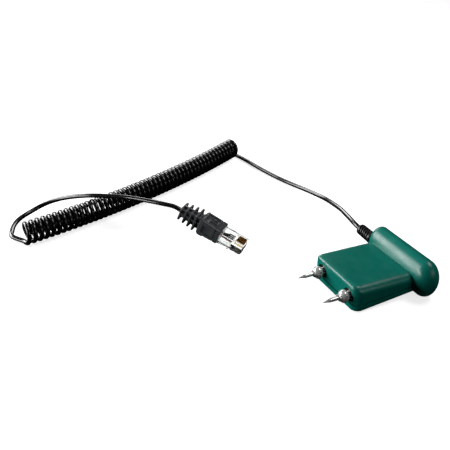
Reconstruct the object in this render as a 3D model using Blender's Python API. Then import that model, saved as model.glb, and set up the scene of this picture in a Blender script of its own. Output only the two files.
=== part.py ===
"""Two-pin soil moisture probe: a T-shaped head, a coiled lead and a modular plug.

The head lies on the ground plane with its pins towards -Y and its grip bar along X. Dimensions
are in millimetres, turned into Blender's metres by MM. The head is modelled in its own frame,
whose origin lies under the grip bar midway between the pins, and the empty head_frame carries
it to the part's frame. The plug is modelled along +X and the empty plug_frame lays it down.
"""

import math

import bmesh
import bpy
from mathutils import Euler, Matrix, Vector

MM = 0.001
GAP = 0.3
HEAD_PLACE = (0.75, 23.0, 0.0)

# Head: a wedge-shaped block across the front and an oval grip bar across the back.
BLOCK_LEFT = -21.6
BLOCK_RIGHT = 20.3
BLOCK_FRONT = 40.9
BLOCK_BACK_IN_BAR = 3.4
BLOCK_TOP_FRONT = 15.8
BLOCK_TOP_SLOPE = 0.042
BLOCK_BOTTOM_SLOPE = 0.066
SEAM_FRONT = 4.1
CORNER_RADIUS = 5.0
SIDE_TOP_RADIUS = 4.6
FRONT_TOP_RADIUS = 2.2
BOTTOM_RADIUS = 1.4
WALL = 2.2
BAR_HALF_DEPTH = 7.25
BAR_HALF_HEIGHT = 11.5
BAR_Y = 3.85
BAR_FAR_DOME = 5.9
BAR_NEAR_DOME = 8.6
BAR_FAR_END = -24.3
BAR_NEAR_END = 30.1

# Pins, their nuts and sockets, all on axes that run along Y.
PIN_SPACING = 25.4
PIN_HEIGHT = 8.15
PIN_TIP = -57.1
PIN_RADIUS = 1.15
PIN_CONE = 4.8
PIN_COLLAR_RADIUS = 1.8
PIN_COLLAR_LENGTH = 1.1
NUT_RADIUS = 3.75
NUT_CENTRE = -43.25
NUT_BACK = -40.75
NUT_BORE = 2.5
SPIGOT_RADIUS = 2.2
SPIGOT_END = -42.6
RECESS_RADIUS = 4.6
RECESS_DEPTH = 1.4
WASHER_RADIUS = 3.8
WASHER_THICKNESS = 0.8
SOCKET_FLANGE_RADIUS = 3.4
SOCKET_TAIL = -31.5

# Strain relief at the far end of the bar.
RELIEF_LENGTH = 7.8
RELIEF_COLLAR = -24.6
RELIEF_RADIUS = 3.6
RELIEF_TIP_RADIUS = 3.3
RELIEF_NECK_RADIUS = 2.0
RELIEF_Y = 2.0
RELIEF_Z = 14.8
RELIEF_SLOTS = 4
RELIEF_INNER = -18.2
RELIEF_FLANGE = 1.2
RELIEF_FLANGE_RADIUS = 2.6
CORD_END_START = RELIEF_INNER + RELIEF_FLANGE + GAP
CORD_END_LENGTH = 6.0

# Circuit board inside the block.
BOARD_SIZE = (25.0, 18.0, 1.2)
BOARD_CENTRE = (0.0, -20.0, 7.0)

# Screws that close the shells, as places in the bar's frame.
SCREWS = {"front": (0.0, -34.2), "left": (-17.1, -14.5), "right": (16.0, -14.5)}
SCREW_HEAD_RADIUS = 2.3
SCREW_SHANK_RADIUS = 1.05
BOSS_RADIUS = 2.6
PAD_RADIUS = 3.35

# Cord.
CORD_RADIUS = 1.5
CORD_STEP = 7.0
COIL_RADIUS = 7.65
COIL_LENGTH = 189.6
COIL_BOW = 7.6
COIL_MIDDLE = (-154.4, -71.6)
COIL_HEADING = math.radians(-70.0)
REST_HEIGHT = 1.75
HEAD_LEAD_ROUTE = [
    (-49.4, 26.0, 13.9),
    (-62.9, 29.3, 12.2),
    (-76.3, 31.7, 9.8),
    (-89.5, 33.5, 7.1),
    (-104.2, 33.3, 4.6),
    (-117.3, 32.0, 2.7),
    (-129.2, 29.5, REST_HEIGHT),
    (-140.4, 26.2, REST_HEIGHT),
    (-151.1, 23.8, REST_HEIGHT),
    (-163.8, 21.4, REST_HEIGHT),
    (-177.3, 19.4, REST_HEIGHT),
]
PLUG_LEAD_ROUTE = [
    (-139.8, -170.1, REST_HEIGHT),
    (-147.5, -168.8, REST_HEIGHT),
    (-154.7, -166.0, REST_HEIGHT),
    (-160.7, -161.9, REST_HEIGHT),
    (-164.9, -157.0, REST_HEIGHT),
    (-167.8, -150.7, 2.6),
    (-168.8, -144.5, 4.3),
    (-166.7, -138.8, 6.8),
    (-162.2, -132.9, 9.8),
    (-156.1, -127.2, 12.8),
    (-149.5, -121.4, 15.4),
    (-142.1, -114.7, 17.7),
    (-133.5, -105.4, 19.3),
    (-124.4, -96.8, 20.8),
    (-112.7, -88.6, 22.4),
    (-101.4, -80.6, 23.4),
]

# Plug and its boot, along +X from the boot's front face.
PLUG_PLACE = (-70.7, -53.6, 10.6)
PLUG_ROLL = math.radians(-5.0)
PLUG_PITCH = math.radians(20.6)
PLUG_HEADING = math.radians(40.8)
PLUG_WIDTH = 11.68
PLUG_TOP = 3.34
PLUG_BOTTOM = -3.46
PLUG_NOSE = 16.1
PLUG_REAR = -5.36
BOOT_WIDTH = 13.5
BOOT_TOP = 5.2
BOOT_BOTTOM = -4.5
BOOT_HUMP_BOTTOM = -6.6
BOOT_HUMP_FRONT = -10.3
BOOT_REAR = -14.4
BOOT_LIP = 3.2
TAIL_END = -29.0
RIBS = [(-28.3, 10.2, 9.2), (-24.8, 11.0, 10.0), (-21.3, 11.8, 10.8), (-17.8, 12.6, 11.6)]
RIB_THICKNESS = 1.2
CONTACT_PITCH = 1.016
CONTACT_SIZE = (5.4, 0.35, 2.0)
LATCH_SLOPE = math.atan(0.12)
LATCH_END = -9.6
LATCH_THICKNESS = 1.1
WIRE_RADIUS = 0.45

GREEN = (0.002, 0.110, 0.078)
BLACK_RUBBER = (0.012, 0.013, 0.014)
STEEL = (0.60, 0.59, 0.56)
CHROME = (0.86, 0.87, 0.88)
BRASS = (0.72, 0.52, 0.24)
GOLD = (0.66, 0.45, 0.16)


def clear_scene():
    for obj in list(bpy.data.objects):
        bpy.data.objects.remove(obj, do_unlink=True)


def material(name, color, roughness, metallic=0.0, alpha=1.0):
    made = bpy.data.materials.new(name)
    made.use_nodes = True
    shader = made.node_tree.nodes["Principled BSDF"]
    shader.inputs["Base Color"].default_value = (*color, 1.0)
    shader.inputs["Roughness"].default_value = roughness
    shader.inputs["Metallic"].default_value = metallic
    shader.inputs["Alpha"].default_value = alpha
    return made


def frame_empty(name, place, rotation=(0.0, 0.0, 0.0)):
    empty = bpy.data.objects.new(name, None)
    empty.location = Vector(place) * MM
    empty.rotation_euler = rotation
    bpy.context.scene.collection.objects.link(empty)
    return empty


def add_mesh(name, bm, finish, parent=None, place=(0.0, 0.0, 0.0), rotation=(0.0, 0.0, 0.0)):
    """Turns a bmesh in millimetres into an object, smooth except at its sharp edges."""
    bmesh.ops.remove_doubles(bm, verts=bm.verts, dist=1e-5)
    bmesh.ops.recalc_face_normals(bm, faces=bm.faces)
    bmesh.ops.scale(bm, vec=(MM, MM, MM), verts=bm.verts)
    mesh = bpy.data.meshes.new(name)
    bm.to_mesh(mesh)
    bm.free()
    mesh.shade_smooth()
    mesh.set_sharp_from_angle(angle=math.radians(35))
    if finish is not None:
        mesh.materials.append(finish)
    obj = bpy.data.objects.new(name, mesh)
    obj.parent = parent
    obj.location = Vector(place) * MM
    obj.rotation_euler = rotation
    bpy.context.scene.collection.objects.link(obj)
    return obj


def box_bm(low, high, bevel=0.0, segments=2):
    bm = bmesh.new()
    bmesh.ops.create_cube(bm, size=1.0)
    size = [b - a for a, b in zip(low, high)]
    middle = [(a + b) / 2 for a, b in zip(low, high)]
    bmesh.ops.scale(bm, vec=size, verts=bm.verts)
    bmesh.ops.translate(bm, vec=middle, verts=bm.verts)
    if bevel:
        bmesh.ops.bevel(bm, geom=bm.edges[:], offset=bevel, segments=segments, profile=0.5, affect="EDGES")
    return bm


def turned_bm(profile, steps=24, ring=False):
    """Spins (radius, height) points about Z. A ring's profile closes on itself, clear of the axis."""
    bm = bmesh.new()
    points = [bm.verts.new((radius, 0.0, height)) for radius, height in profile]
    pairs = list(zip(points, points[1:]))
    if ring:
        pairs.append((points[-1], points[0]))
    edges = [bm.edges.new(pair) for pair in pairs]
    bmesh.ops.spin(
        bm,
        geom=points + edges,
        cent=(0.0, 0.0, 0.0),
        axis=(0.0, 0.0, 1.0),
        angle=math.tau,
        steps=steps,
        use_merge=True,
        use_duplicate=False,
    )
    return bm


def arc(centre, radius, start, end, count):
    """Points of an arc in a profile, as (radius, height), angles in degrees from the radius axis."""
    angles = [math.radians(start + (end - start) * i / count) for i in range(count + 1)]
    return [(centre[0] + radius * math.cos(a), centre[1] + radius * math.sin(a)) for a in angles]


def outline_bm(points, low, high):
    """Extrudes an (x, z) outline along Y from low to high."""
    bm = bmesh.new()
    face = bm.faces.new([bm.verts.new((x, low, z)) for x, z in points])
    grown = bmesh.ops.extrude_face_region(bm, geom=[face])
    moved = [item for item in grown["geom"] if isinstance(item, bmesh.types.BMVert)]
    bmesh.ops.translate(bm, vec=(0.0, high - low, 0.0), verts=moved)
    return bm


def loft_bm(stations, sides=20, squareness=3.2):
    """Rounded sections along X, each (x, width, height), joined ring to ring and capped."""
    bm = bmesh.new()
    rings = []
    for x, width, height in stations:
        ring = []
        for i in range(sides):
            angle = math.tau * (i + 0.5) / sides
            c, s = math.cos(angle), math.sin(angle)
            reach = (abs(c) ** squareness + abs(s) ** squareness) ** (-1 / squareness)
            ring.append(bm.verts.new((x, width / 2 * reach * c, height / 2 * reach * s)))
        rings.append(ring)
    for first, second in zip(rings, rings[1:]):
        for i in range(sides):
            j = (i + 1) % sides
            bm.faces.new((first[i], first[j], second[j], second[i]))
    bm.faces.new(rings[0])
    bm.faces.new(rings[-1])
    return bm


def tube(name, points, radius, finish, parent=None, resolution=2):
    """A closed tube along millimetre points."""
    curve = bpy.data.curves.new(name, "CURVE")
    curve.dimensions = "3D"
    curve.bevel_depth = radius * MM
    curve.bevel_resolution = resolution
    curve.use_fill_caps = True
    spline = curve.splines.new("POLY")
    spline.points.add(len(points) - 1)
    for target, point in zip(spline.points, points):
        target.co = (*(Vector(point) * MM), 1.0)
    curve.materials.append(finish)
    obj = bpy.data.objects.new(name, curve)
    obj.parent = parent
    bpy.context.scene.collection.objects.link(obj)
    return obj


def smooth_route(knots, step):
    """Points about a step apart on a smooth curve through the knots."""
    knots = [Vector(knot) for knot in knots]
    ends = [knots[0] * 2 - knots[1], *knots, knots[-1] * 2 - knots[-2]]
    fine = []
    for a, b, c, d in zip(ends, ends[1:], ends[2:], ends[3:]):
        for i in range(20):
            t = i / 20
            fine.append(
                b
                + (c - a) * (0.5 * t)
                + (a * 2 - b * 5 + c * 4 - d) * (0.5 * t * t)
                + (b * 3 - a - c * 3 + d) * (0.5 * t * t * t)
            )
    fine.append(knots[-1])
    reach = [0.0]
    for first, second in zip(fine, fine[1:]):
        reach.append(reach[-1] + (second - first).length)
    count = max(2, round(reach[-1] / step))
    route = []
    at = 0
    for i in range(count + 1):
        wanted = reach[-1] * i / count
        while at < len(reach) - 2 and reach[at + 1] < wanted:
            at += 1
        share = (wanted - reach[at]) / (reach[at + 1] - reach[at])
        route.append(fine[at].lerp(fine[at + 1], share))
    return route


def cut(obj, cutter, operation="DIFFERENCE"):
    cutter.hide_render = True
    cutter.display_type = "WIRE"
    modifier = obj.modifiers.new(operation.title() + "_" + cutter.name, "BOOLEAN")
    modifier.object = cutter
    modifier.operation = operation
    modifier.solver = "EXACT"


def bottom_at(y):
    return BLOCK_BOTTOM_SLOPE * (y + BLOCK_FRONT)


def seam_at(y):
    return SEAM_FRONT + bottom_at(y)


def top_at(y):
    return BLOCK_TOP_FRONT - BLOCK_TOP_SLOPE * (y + BLOCK_FRONT)


def block_bm(inset):
    """The wedge block, drawn in by an inset, with rounded corners and long edges.

    Its outline runs round the block once for each ring, and the rings climb from the bottom's
    rim to the top's. The top's rim has a larger radius along the sides than along the front.
    """
    left = BLOCK_LEFT + inset
    right = BLOCK_RIGHT - inset
    front = -BLOCK_FRONT + inset
    back = BLOCK_BACK_IN_BAR - inset
    corner = CORNER_RADIUS - inset
    share = corner / CORNER_RADIUS
    outline = []
    for x, y, start in (
        (right - corner, front + corner, -90),
        (right - corner, back - corner, 0),
        (left + corner, back - corner, 90),
        (left + corner, front + corner, 180),
    ):
        for i in range(6):
            angle = math.radians(start + 90 * i / 5)
            outline.append((Vector((x, y)), Vector((math.cos(angle), math.sin(angle)))))
    rings = []
    for turn in (90, 45, 0):
        rings.append([(math.radians(turn), False, centre, outward) for centre, outward in outline])
    for turn in (0, 22.5, 45, 67.5, 90):
        rings.append([(math.radians(turn), True, centre, outward) for centre, outward in outline])
    bm = bmesh.new()
    loops = []
    for ring in rings:
        loop = []
        for turn, at_top, centre, outward in ring:
            side = outward.x * outward.x
            top_radius = FRONT_TOP_RADIUS + (SIDE_TOP_RADIUS - FRONT_TOP_RADIUS) * side
            radius = share * (top_radius if at_top else BOTTOM_RADIUS)
            place = centre + outward * (corner - radius * (1 - math.cos(turn)))
            drop = radius * (1 - math.sin(turn)) + inset
            height = top_at(place.y) - drop if at_top else bottom_at(place.y) + drop
            loop.append(bm.verts.new((place.x, place.y, height)))
        loops.append(loop)
    for low, high in zip(loops, loops[1:]):
        for i in range(len(low)):
            j = (i + 1) % len(low)
            bm.faces.new((low[i], low[j], high[j], high[i]))
    bm.faces.new(loops[0])
    bm.faces.new(loops[-1])
    return bm


def bar_bm(inset):
    """The grip bar, drawn in by an inset: an oval bar with domed ends, turned about Z and laid along X."""
    height = BAR_HALF_HEIGHT - inset
    depth = BAR_HALF_DEPTH - inset
    far_rise = (BAR_FAR_DOME - inset) / height
    near_rise = (BAR_NEAR_DOME - inset) / height
    far = [(r, BAR_FAR_END + BAR_FAR_DOME + z * far_rise) for r, z in arc((0.0, 0.0), height, -90, 0, 7)]
    near = [(r, BAR_NEAR_END - BAR_NEAR_DOME + z * near_rise) for r, z in arc((0.0, 0.0), height, 0, 90, 7)]
    bm = turned_bm(far + near, steps=40)
    bmesh.ops.scale(bm, vec=(1.0, depth / height, 1.0), verts=bm.verts)
    turn = Matrix.Rotation(math.radians(90), 4, "Y")
    centre = Matrix.Translation((0.0, BAR_Y, BAR_HALF_HEIGHT))
    bmesh.ops.transform(bm, matrix=centre @ turn, verts=bm.verts)
    return bm


def half_space_bm(above):
    """A slab on one side of the seam plane, which slopes as the block's bottom does."""
    reach = 60.0
    sign = 1.0 if above else -1.0
    near_z = seam_at(-reach) - sign * GAP / 2
    far_z = seam_at(reach) - sign * GAP / 2
    outline = [(-reach, near_z), (reach, far_z), (reach, far_z + sign * reach), (-reach, near_z + sign * reach)]
    bm = outline_bm(outline, -reach, reach)
    bmesh.ops.transform(bm, matrix=Matrix.Rotation(math.radians(90), 4, "Z"), verts=bm.verts)
    return bm


def along_y(radius_profile, steps=24, ring=False):
    """A turned shape whose profile heights are places along Y, laid on its side."""
    flipped = [(radius, -place) for radius, place in radius_profile]
    bm = turned_bm(flipped, steps, ring)
    bmesh.ops.transform(bm, matrix=Matrix.Rotation(math.radians(90), 4, "X"), verts=bm.verts)
    return bm


def along_x(radius_profile, steps=24, ring=False):
    bm = turned_bm(radius_profile, steps, ring)
    bmesh.ops.transform(bm, matrix=Matrix.Rotation(math.radians(90), 4, "Y"), verts=bm.verts)
    return bm


def make_shells(head, finish):
    shells = {}
    for name, above in (("top_shell", False), ("bottom_shell", True)):
        shell = add_mesh(name, block_bm(0.0), finish, head)
        cut(shell, add_mesh(name + "_bar", bar_bm(0.0), None, head), "UNION")
        cut(shell, add_mesh(name + "_cavity", block_bm(WALL), None, head))
        cut(shell, add_mesh(name + "_grip_cavity", bar_bm(WALL), None, head))
        cut(shell, add_mesh(name + "_seam", half_space_bm(above), None, head))
        shells[name] = shell
    return shells["top_shell"], shells["bottom_shell"]


def joined(shapes):
    """One bmesh from (bmesh, place) pairs that don't touch, so that one Boolean cuts them all."""
    whole = bmesh.new()
    for bm, place in shapes:
        bmesh.ops.translate(bm, vec=place, verts=bm.verts)
        mesh = bpy.data.meshes.new("piece")
        bm.to_mesh(mesh)
        bm.free()
        whole.from_mesh(mesh)
        bpy.data.meshes.remove(mesh)
    return whole


def add_bosses(top, bottom, head):
    """Columns for the screws in the top shell, and pads for their heads in the bottom one."""
    bosses = []
    pads = []
    for x, y in SCREWS.values():
        seam = seam_at(y) + GAP
        roof = top_at(y) - WALL / 2
        floor = bottom_at(y) + 0.5
        ledge = seam - 2 * GAP
        boss = turned_bm([(0.0, seam), (BOSS_RADIUS, seam), (BOSS_RADIUS, roof), (0.0, roof)], 16)
        pad = turned_bm([(0.0, floor), (PAD_RADIUS, floor), (PAD_RADIUS, ledge), (0.0, ledge)], 20)
        bosses.append((boss, (x, y, 0.0)))
        pads.append((pad, (x, y, 0.0)))
    cut(top, add_mesh("bosses", joined(bosses), None, head), "UNION")
    cut(bottom, add_mesh("pads", joined(pads), None, head), "UNION")


def screw_bores():
    """The pilot holes up into the bosses, and the stepped holes up through the pads."""
    pilots = []
    bores = []
    for x, y in SCREWS.values():
        seam = seam_at(y) + GAP
        pilot = turned_bm([(0.0, seam - 3), (1.35, seam - 3), (1.35, seam + 6), (0.0, seam + 6)], 12)
        low = bottom_at(y) - 2
        ledge = seam - GAP - 1.2
        bore = turned_bm(
            [(0.0, low), (2.65, low), (2.65, ledge), (1.4, ledge), (1.4, seam + 3), (0.0, seam + 3)], 20
        )
        pilots.append((pilot, (x, y, 0.0)))
        bores.append((bore, (x, y, 0.0)))
    return pilots, bores


def pin_and_relief_holes():
    """The recessed holes for the pin sockets, and the hole for the strain relief's neck."""
    front = -BLOCK_FRONT
    holes = []
    for x in (-PIN_SPACING / 2, PIN_SPACING / 2):
        hole = along_y(
            [
                (0.0, front - 3),
                (RECESS_RADIUS, front - 3),
                (RECESS_RADIUS, front + RECESS_DEPTH),
                (SPIGOT_RADIUS + GAP, front + RECESS_DEPTH),
                (SPIGOT_RADIUS + GAP, front + WALL + 1),
                (0.0, front + WALL + 1),
            ]
        )
        holes.append((hole, (x, 0.0, PIN_HEIGHT)))
    radius = RELIEF_NECK_RADIUS + GAP
    low = BAR_FAR_END - 3.0
    high = RELIEF_INNER + RELIEF_FLANGE + 0.6
    hole = along_x([(0.0, low), (radius, low), (radius, high), (0.0, high)])
    holes.append((hole, (0.0, RELIEF_Y, RELIEF_Z)))
    return holes


def main():
    clear_scene()
    green = material("moulded_green", GREEN, 0.35)
    rubber = material("black_rubber", BLACK_RUBBER, 0.45)
    boot_finish = material("boot_grey", (0.045, 0.048, 0.052), 0.5)
    cord_finish = material("cord_black", BLACK_RUBBER, 0.3)
    steel = material("steel", STEEL, 0.25, 1.0)
    dark_steel = material("dark_steel", (0.16, 0.16, 0.16), 0.4, 1.0)
    chrome = material("chrome", CHROME, 0.06, 1.0)
    brass = material("brass", BRASS, 0.3, 1.0)
    gold = material("gold", GOLD, 0.25, 1.0)
    clear = material("clear_plastic", (0.86, 0.87, 0.86), 0.1, 0.0, 0.35)
    board_green = material("board", (0.02, 0.16, 0.05), 0.4)
    chip_black = material("chip", (0.015, 0.015, 0.016), 0.5)
    ceramic = material("ceramic", (0.75, 0.72, 0.65), 0.5)
    cream = material("cream_nylon", (0.80, 0.77, 0.68), 0.5)
    wires = [
        material("wire_red", (0.45, 0.02, 0.02), 0.4),
        material("wire_black", (0.02, 0.02, 0.02), 0.4),
        material("wire_green", (0.02, 0.25, 0.06), 0.4),
        material("wire_yellow", (0.70, 0.55, 0.03), 0.4),
    ]

    relief_tip = RELIEF_COLLAR - RELIEF_LENGTH
    head = frame_empty("head_frame", HEAD_PLACE)
    plug = frame_empty("plug_frame", PLUG_PLACE, (PLUG_ROLL, PLUG_PITCH, PLUG_HEADING))

    top, bottom = make_shells(head, green)
    add_bosses(top, bottom, head)
    pilots, bores = screw_bores()
    cut(top, add_mesh("top_holes", joined(pilots + pin_and_relief_holes()), None, head))
    cut(bottom, add_mesh("bottom_holes", joined(bores), None, head))
    for side, x in (("left", -PIN_SPACING / 2), ("right", PIN_SPACING / 2)):
        make_pin(side, x, head, steel, chrome, dark_steel, brass, wires)
    make_relief(head, rubber, cord_finish, brass)
    make_board(head, board_green, chip_black, ceramic, cream, wires)
    for name, (x, y) in SCREWS.items():
        make_screw("housing_screw_" + name, x, y, head, steel)

    make_cord(cord_finish, head, relief_tip, plug)
    make_plug(plug, boot_finish, clear, gold, cord_finish, wires)


def make_pin(side, x, head, steel, chrome, dark_steel, brass, wires):
    place = (x, 0.0, PIN_HEIGHT)
    front = -BLOCK_FRONT
    collar_back = SPIGOT_END - GAP
    collar_front = collar_back - PIN_COLLAR_LENGTH
    pin = along_y(
        [
            (0.0, collar_back),
            (PIN_COLLAR_RADIUS, collar_back),
            (PIN_COLLAR_RADIUS, collar_front),
            (PIN_RADIUS, collar_front),
            (PIN_RADIUS, PIN_TIP + PIN_CONE),
            (0.12, PIN_TIP),
            (0.0, PIN_TIP),
        ],
        20,
    )
    add_mesh("pin_" + side, pin, steel, head, place)
    shoulder = collar_front - GAP
    back_angle = math.degrees(math.asin((NUT_BACK - NUT_CENTRE) / NUT_RADIUS))
    front_angle = -math.degrees(math.acos((PIN_RADIUS + GAP + 0.25) / NUT_RADIUS))
    ball = arc((0.0, NUT_CENTRE), NUT_RADIUS, back_angle, front_angle, 10)
    tip = ball[-1][1]
    nut = along_y(
        ball
        + [(PIN_RADIUS + GAP, tip), (PIN_RADIUS + GAP, shoulder), (NUT_BORE, shoulder), (NUT_BORE, NUT_BACK)],
        28,
        ring=True,
    )
    add_mesh("pin_nut_" + side, nut, chrome, head, place)
    washer_back = front + RECESS_DEPTH - GAP
    washer_front = washer_back - WASHER_THICKNESS
    washer = along_y(
        [
            (SPIGOT_RADIUS + GAP, washer_back),
            (WASHER_RADIUS, washer_back),
            (WASHER_RADIUS, washer_front),
            (SPIGOT_RADIUS + GAP, washer_front),
        ],
        24,
        ring=True,
    )
    add_mesh("lock_washer_" + side, washer, dark_steel, head, place)
    flange = front + WALL + GAP
    socket = along_y(
        [
            (0.0, SPIGOT_END),
            (SPIGOT_RADIUS, SPIGOT_END),
            (SPIGOT_RADIUS, flange),
            (SOCKET_FLANGE_RADIUS, flange),
            (SOCKET_FLANGE_RADIUS, flange + 1.4),
            (1.4, flange + 1.4),
            (1.4, SOCKET_TAIL),
            (0.0, SOCKET_TAIL),
        ],
        20,
    )
    add_mesh("pin_socket_" + side, socket, brass, head, place)
    inward = -1.0 if x > 0 else 1.0
    route = [
        (x, SOCKET_TAIL + GAP, PIN_HEIGHT),
        (x, SOCKET_TAIL + 1.4, PIN_HEIGHT + 0.5),
        (x + inward * 1.4, SOCKET_TAIL + 3.0, PIN_HEIGHT + 1.0),
        (x + inward * 2.4, SOCKET_TAIL + 4.6, PIN_HEIGHT + 0.4),
    ]
    tube("probe_wire_" + side, route, WIRE_RADIUS, wires[0 if x < 0 else 1], head, 1)


def make_relief(head, rubber, cord_finish, brass):
    """Strain relief through the bar's far end, with the cord's end and its ferrule inside."""
    tip = RELIEF_COLLAR - RELIEF_LENGTH
    collar = RELIEF_COLLAR
    profile = [(0.0, tip), (RELIEF_TIP_RADIUS, tip)]
    span = RELIEF_LENGTH - 2.0
    for i in range(RELIEF_SLOTS):
        start = tip + 1.0 + span * i / RELIEF_SLOTS
        outer = RELIEF_TIP_RADIUS + (RELIEF_RADIUS - RELIEF_TIP_RADIUS) * i / RELIEF_SLOTS
        profile += [(outer, start), (outer - 0.7, start), (outer - 0.7, start + 0.8), (outer + 0.1, start + 0.8)]
    profile += [
        (RELIEF_RADIUS, collar - 1.0),
        (RELIEF_RADIUS, collar),
        (RELIEF_NECK_RADIUS, collar),
        (RELIEF_NECK_RADIUS, RELIEF_INNER),
        (RELIEF_FLANGE_RADIUS, RELIEF_INNER),
        (RELIEF_FLANGE_RADIUS, RELIEF_INNER + RELIEF_FLANGE),
        (0.0, RELIEF_INNER + RELIEF_FLANGE),
    ]
    add_mesh("strain_relief", along_x(profile, 20), rubber, head, (0.0, RELIEF_Y, RELIEF_Z))
    start = CORD_END_START
    end = start + CORD_END_LENGTH
    tube("cord_end", [(start, RELIEF_Y, RELIEF_Z), (end, RELIEF_Y, RELIEF_Z)], CORD_RADIUS, cord_finish, head)
    ferrule = along_x(
        [
            (CORD_RADIUS + GAP, start + 2),
            (CORD_RADIUS + 1.0, start + 2),
            (CORD_RADIUS + 1.0, start + 6),
            (CORD_RADIUS + GAP, start + 6),
        ],
        16,
        ring=True,
    )
    add_mesh("cord_ferrule", ferrule, brass, head, (0.0, RELIEF_Y, RELIEF_Z))


def make_board(head, board_green, chip_black, ceramic, cream, wires):
    cx, cy, cz = BOARD_CENTRE
    half = [side / 2 for side in BOARD_SIZE]
    low = (cx - half[0], cy - half[1], cz - half[2])
    high = (cx + half[0], cy + half[1], cz + half[2])
    add_mesh("circuit_board", box_bm(low, high), board_green, head)
    face = cz + half[2] + GAP / 3
    add_mesh("sensing_chip", box_bm((-7.5, -23.5, face), (-0.5, -16.5, face + 1.4), 0.2), chip_black, head)
    capacitor = turned_bm([(0.0, 0.0), (1.9, 0.0), (1.9, 3.6), (1.6, 4.0), (0.0, 4.0)], 16)
    add_mesh("timing_capacitor", capacitor, chip_black, head, (5.5, -24.0, face))
    for side, x in (("left", 3.0), ("right", 7.4)):
        chip = box_bm((x, -19.5, face), (x + 3.2, -17.9, face + 0.7))
        add_mesh("resistor_" + side, chip, ceramic, head)
    header_top = face + 2.4
    add_mesh("cord_header", box_bm((-5.5, -15.0, face), (5.5, -11.6, header_top), 0.2), cream, head)
    start_x = CORD_END_START + CORD_END_LENGTH + GAP
    for i, finish in enumerate(wires):
        across = (i - 1.5) * 1.1
        end_x = (i - 1.5) * 2.4
        route = smooth_route(
            [
                (start_x, RELIEF_Y + across, RELIEF_Z),
                (start_x + 2.0 + i * 1.6, RELIEF_Y + across - 0.4, RELIEF_Z - 1.2),
                (end_x - 0.6, -0.2, RELIEF_Z - 4.4),
                (end_x, -5.0, cz + 2.4),
                (end_x, -11.6 + GAP, cz + 1.9),
            ],
            2.2,
        )
        tube(f"cord_wire_{i + 1}", route, WIRE_RADIUS, finish, head, 1)


def make_screw(name, x, y, head, steel):
    seam = seam_at(y) + GAP
    ledge = seam - GAP - 1.2
    head_top = ledge - GAP
    head_low = head_top - 1.3
    profile = [
        (0.0, head_low + 0.5),
        (1.0, head_low + 0.5),
        (1.0, head_low),
        (SCREW_HEAD_RADIUS - 0.3, head_low),
        (SCREW_HEAD_RADIUS, head_low + 0.4),
        (SCREW_HEAD_RADIUS, head_top),
        (SCREW_SHANK_RADIUS, head_top),
        (SCREW_SHANK_RADIUS, seam + 5.0),
        (0.0, seam + 5.6),
    ]
    add_mesh(name, turned_bm(profile, 16), steel, head, (x, y, 0.0))


def coil_point(t):
    """A point of the coil's axis in the part's frame, t from -1 at the head's end to 1."""
    along = Vector((math.cos(COIL_HEADING), math.sin(COIL_HEADING), 0.0))
    across = Vector((-along.y, along.x, 0.0))
    middle = Vector((*COIL_MIDDLE, COIL_RADIUS + 0.1))
    return middle + along * (t * COIL_LENGTH / 2) - across * (COIL_BOW * t * t)


def make_cord(cord_finish, head, relief_tip, plug):
    starts = {}
    for t in (-1, 1):
        outward = (coil_point(t) - coil_point(t * 0.98)).normalized()
        sideways = Vector((outward.y, -outward.x, 0.0))
        place = coil_point(t) + outward * (CORD_RADIUS + GAP)
        place.z = REST_HEIGHT
        starts[t] = [place, place + sideways * COIL_RADIUS * 0.8]
    leaves = Vector((relief_tip - GAP, RELIEF_Y, RELIEF_Z)) + head.location / MM
    straight = leaves - Vector((4.0, 0.0, 0.0))
    head_route = smooth_route([leaves, straight, *HEAD_LEAD_ROUTE, *reversed(starts[-1])], CORD_STEP)
    tube("head_lead", head_route, CORD_RADIUS, cord_finish)
    tube("coiled_cord", [coil_point(i / 8) for i in range(-8, 9)], COIL_RADIUS, cord_finish, None, 4)
    turn = Euler((PLUG_ROLL, PLUG_PITCH, PLUG_HEADING)).to_matrix()
    tail = Vector(PLUG_PLACE) + turn @ Vector((TAIL_END - GAP, 0.0, 0.0))
    before = Vector(PLUG_PLACE) + turn @ Vector((TAIL_END - 6.0, 0.0, 0.0))
    plug_route = smooth_route([*starts[1], *PLUG_LEAD_ROUTE, before, tail], CORD_STEP)
    tube("plug_lead", plug_route, CORD_RADIUS, cord_finish)


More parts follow.
